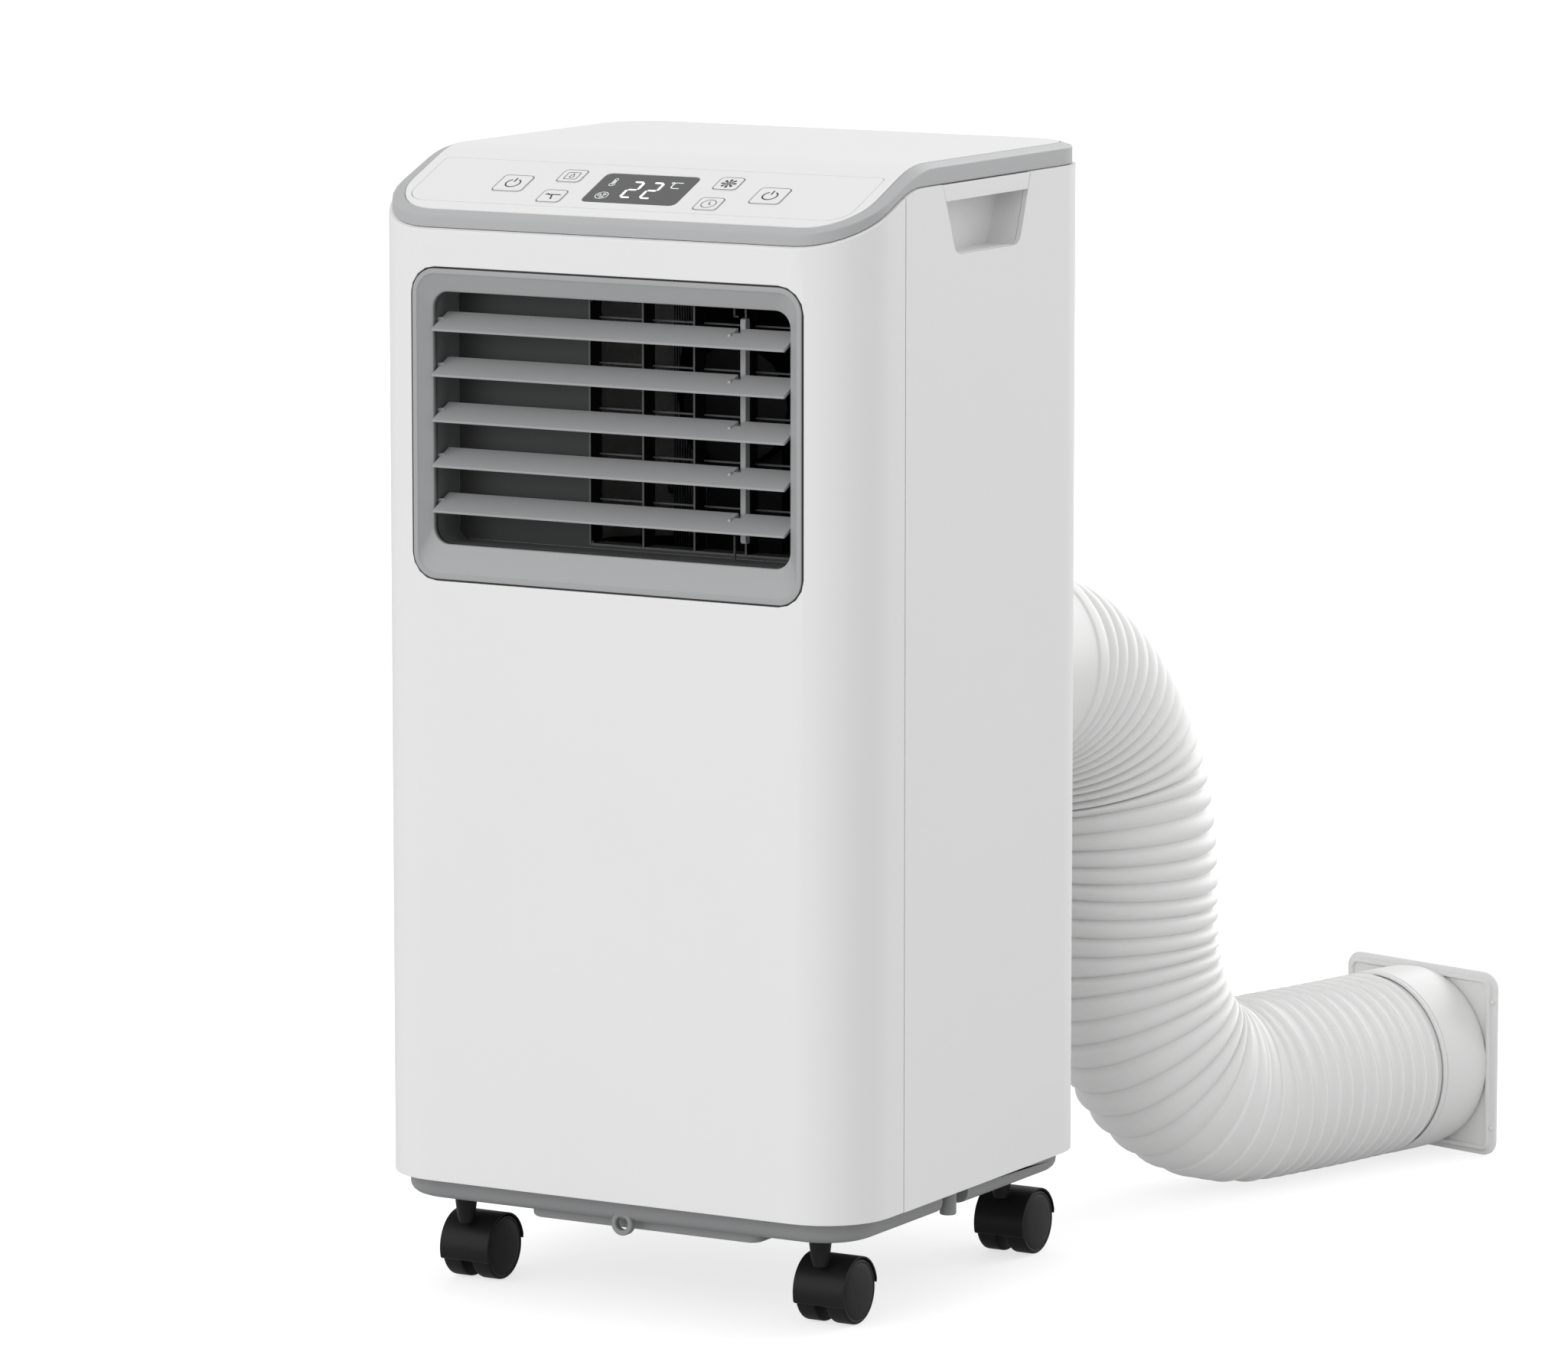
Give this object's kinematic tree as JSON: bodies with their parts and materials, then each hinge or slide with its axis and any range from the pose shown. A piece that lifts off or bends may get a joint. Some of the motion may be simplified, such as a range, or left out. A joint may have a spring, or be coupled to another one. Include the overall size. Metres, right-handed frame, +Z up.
{
  "type": "portable air conditioner",
  "caption": "Portable air conditioner on casters with a louvered front outlet, a sloped control panel, side grips and a corrugated exhaust hose that ends in a square wall plate.",
  "frame": {"origin": "On the floor, under the middle of the cabinet's footprint.", "axes": "+Z up, -Y the front with the louvers, +X the right side as seen from the front; the exhaust hose leaves at +Y."},
  "size_m": [0.4222, 0.7125, 0.68],
  "materials": {
    "white_plastic": "satin",
    "trim_grey": "satin",
    "frame_grey": "satin",
    "louver_grey": "satin",
    "duct_black": "matte",
    "display_black": "gloss",
    "base_grey": "matte",
    "caster_black": "satin",
    "steel": "satin",
    "hose_white": "satin",
    "aluminium": "satin",
    "compressor_black": "satin",
    "board_green": "satin",
    "rubber": "matte"
  },
  "bodies": {
    "cabinet": {"front_shell": "white_plastic", "rear_cabinet": "white_plastic", "trim_band": "trim_grey", "top_cover": "white_plastic", "control_panel": "white_plastic", "display_window": "display_black", "control_board": "board_green", "grille_frame": "frame_grey", "outlet_duct": "frame_grey", "guard_grille": "duct_black", "side_handle_left": "white_plastic", "side_handle_right": "white_plastic", "lower_intake_grille": "white_plastic", "base_tray": "base_grey", "exhaust_hose": "hose_white", "hose_connector": "hose_white", "hose_adapter": "hose_white", "wall_flange": "hose_white", "partition": "duct_black", "evaporator_coil": "aluminium", "condenser_coil": "aluminium", "evaporator_motor": "aluminium", "condenser_motor": "aluminium", "compressor": "compressor_black", "cord_gland": "rubber"},
    "power_button_left": {"power_button_left": "white_plastic"},
    "power_button_right": {"power_button_right": "white_plastic"},
    "mode_button": {"mode_button": "white_plastic"},
    "swing_button": {"swing_button": "white_plastic"},
    "fan_button": {"fan_button": "white_plastic"},
    "timer_button": {"timer_button": "white_plastic"},
    "louver_1": {"louver_1": "louver_grey"},
    "louver_2": {"louver_2": "louver_grey"},
    "louver_3": {"louver_3": "louver_grey"},
    "louver_4": {"louver_4": "louver_grey"},
    "louver_5": {"louver_5": "louver_grey"},
    "louver_link_rod": {"louver_link_rod": "louver_grey"},
    "intake_door": {"upper_intake_grille": "white_plastic", "air_filter": "duct_black"},
    "evaporator_blower": {"evaporator_blower": "duct_black"},
    "condenser_blower": {"condenser_blower": "duct_black"},
    "drain_plug": {"drain_plug": "rubber"},
    "front_left_caster": {"front_left_caster_housing": "caster_black", "front_left_caster_axle": "steel"},
    "front_left_wheel_inner": {"front_left_wheel_inner": "caster_black"},
    "front_left_wheel_outer": {"front_left_wheel_outer": "caster_black"},
    "front_right_caster": {"front_right_caster_housing": "caster_black", "front_right_caster_axle": "steel"},
    "front_right_wheel_inner": {"front_right_wheel_inner": "caster_black"},
    "front_right_wheel_outer": {"front_right_wheel_outer": "caster_black"},
    "rear_left_caster": {"rear_left_caster_housing": "caster_black", "rear_left_caster_axle": "steel"},
    "rear_left_wheel_inner": {"rear_left_wheel_inner": "caster_black"},
    "rear_left_wheel_outer": {"rear_left_wheel_outer": "caster_black"},
    "rear_right_caster": {"rear_right_caster_housing": "caster_black", "rear_right_caster_axle": "steel"},
    "rear_right_wheel_inner": {"rear_right_wheel_inner": "caster_black"},
    "rear_right_wheel_outer": {"rear_right_wheel_outer": "caster_black"}
  },
  "joints": [
    {"name": "power_button_left_press", "type": "slide", "parent": "cabinet", "child": "power_button_left", "axis": [0, 0.395, -0.9187], "range_m": [0, 0.0008], "stiffness_N_per_m": 500, "springref_m": -0.0004},
    {"name": "power_button_right_press", "type": "slide", "parent": "cabinet", "child": "power_button_right", "axis": [0, 0.395, -0.9187], "range_m": [0, 0.0008], "stiffness_N_per_m": 500, "springref_m": -0.0004},
    {"name": "mode_button_press", "type": "slide", "parent": "cabinet", "child": "mode_button", "axis": [0, 0.395, -0.9187], "range_m": [0, 0.0008], "stiffness_N_per_m": 500, "springref_m": -0.0004},
    {"name": "swing_button_press", "type": "slide", "parent": "cabinet", "child": "swing_button", "axis": [0, 0.395, -0.9187], "range_m": [0, 0.0008], "stiffness_N_per_m": 500, "springref_m": -0.0004},
    {"name": "fan_button_press", "type": "slide", "parent": "cabinet", "child": "fan_button", "axis": [0, 0.395, -0.9187], "range_m": [0, 0.0008], "stiffness_N_per_m": 500, "springref_m": -0.0004},
    {"name": "timer_button_press", "type": "slide", "parent": "cabinet", "child": "timer_button", "axis": [0, 0.395, -0.9187], "range_m": [0, 0.0008], "stiffness_N_per_m": 500, "springref_m": -0.0004},
    {"name": "louver_1_tilt", "type": "hinge", "parent": "cabinet", "child": "louver_1", "pos_m": [0, -0.1372, 0.5827], "axis": [1, 0, 0], "range_deg": [-55, 35]},
    {"name": "louver_2_tilt", "type": "hinge", "parent": "cabinet", "child": "louver_2", "pos_m": [0, -0.1372, 0.5559], "axis": [1, 0, 0], "range_deg": [-55, 35]},
    {"name": "louver_3_tilt", "type": "hinge", "parent": "cabinet", "child": "louver_3", "pos_m": [0, -0.1372, 0.5291], "axis": [1, 0, 0], "range_deg": [-55, 35]},
    {"name": "louver_4_tilt", "type": "hinge", "parent": "cabinet", "child": "louver_4", "pos_m": [0, -0.1372, 0.5023], "axis": [1, 0, 0], "range_deg": [-55, 35]},
    {"name": "louver_5_tilt", "type": "hinge", "parent": "cabinet", "child": "louver_5", "pos_m": [0, -0.1372, 0.4755], "axis": [1, 0, 0], "range_deg": [-55, 35]},
    {"name": "link_rod_pivot", "type": "hinge", "parent": "louver_1", "child": "louver_link_rod", "pos_m": [0.08015, -0.1257, 0.5827], "axis": [1, 0, 0], "range_deg": [-35, 55]},
    {"name": "intake_door_hinge", "type": "hinge", "parent": "cabinet", "child": "intake_door", "pos_m": [0, 0.14885, 0.4512], "axis": [-1, 0, 0], "range_deg": [0, 60]},
    {"name": "evaporator_blower_spin", "type": "hinge", "parent": "cabinet", "child": "evaporator_blower", "pos_m": [0.02, 0.03, 0.53], "axis": [0, 1, 0], "continuous": true},
    {"name": "condenser_blower_spin", "type": "hinge", "parent": "cabinet", "child": "condenser_blower", "pos_m": [0.0755, 0.07, 0.35], "axis": [0, 1, 0], "continuous": true},
    {"name": "drain_plug_pull", "type": "slide", "parent": "cabinet", "child": "drain_plug", "axis": [0, 1, 0], "range_m": [0, 0.03]},
    {"name": "front_left_caster_swivel", "type": "hinge", "parent": "cabinet", "child": "front_left_caster", "pos_m": [-0.1221, -0.111, 0], "axis": [0, 0, 1], "continuous": true},
    {"name": "front_left_wheel_inner_roll", "type": "hinge", "parent": "front_left_caster", "child": "front_left_wheel_inner", "pos_m": [-0.1221, -0.0935, 0.0195], "axis": [1, 0, 0], "continuous": true},
    {"name": "front_left_wheel_outer_roll", "type": "hinge", "parent": "front_left_caster", "child": "front_left_wheel_outer", "pos_m": [-0.1221, -0.0935, 0.0195], "axis": [1, 0, 0], "continuous": true},
    {"name": "front_right_caster_swivel", "type": "hinge", "parent": "cabinet", "child": "front_right_caster", "pos_m": [0.1221, -0.111, 0], "axis": [0, 0, 1], "continuous": true},
    {"name": "front_right_wheel_inner_roll", "type": "hinge", "parent": "front_right_caster", "child": "front_right_wheel_inner", "pos_m": [0.1221, -0.0935, 0.0195], "axis": [1, 0, 0], "continuous": true},
    {"name": "front_right_wheel_outer_roll", "type": "hinge", "parent": "front_right_caster", "child": "front_right_wheel_outer", "pos_m": [0.1221, -0.0935, 0.0195], "axis": [1, 0, 0], "continuous": true},
    {"name": "rear_left_caster_swivel", "type": "hinge", "parent": "cabinet", "child": "rear_left_caster", "pos_m": [-0.1221, 0.111, 0], "axis": [0, 0, 1], "continuous": true},
    {"name": "rear_left_wheel_inner_roll", "type": "hinge", "parent": "rear_left_caster", "child": "rear_left_wheel_inner", "pos_m": [-0.1221, 0.1285, 0.0195], "axis": [1, 0, 0], "continuous": true},
    {"name": "rear_left_wheel_outer_roll", "type": "hinge", "parent": "rear_left_caster", "child": "rear_left_wheel_outer", "pos_m": [-0.1221, 0.1285, 0.0195], "axis": [1, 0, 0], "continuous": true},
    {"name": "rear_right_caster_swivel", "type": "hinge", "parent": "cabinet", "child": "rear_right_caster", "pos_m": [0.1221, 0.111, 0], "axis": [0, 0, 1], "continuous": true},
    {"name": "rear_right_wheel_inner_roll", "type": "hinge", "parent": "rear_right_caster", "child": "rear_right_wheel_inner", "pos_m": [0.1221, 0.1285, 0.0195], "axis": [1, 0, 0], "continuous": true},
    {"name": "rear_right_wheel_outer_roll", "type": "hinge", "parent": "rear_right_caster", "child": "rear_right_wheel_outer", "pos_m": [0.1221, 0.1285, 0.0195], "axis": [1, 0, 0], "continuous": true}
  ],
  "couplings": [
    {"joint": "louver_2_tilt", "follows": "louver_1_tilt", "ratio": 1},
    {"joint": "louver_3_tilt", "follows": "louver_1_tilt", "ratio": 1},
    {"joint": "louver_4_tilt", "follows": "louver_1_tilt", "ratio": 1},
    {"joint": "louver_5_tilt", "follows": "louver_1_tilt", "ratio": 1},
    {"joint": "link_rod_pivot", "follows": "louver_1_tilt", "ratio": -1}
  ]
}
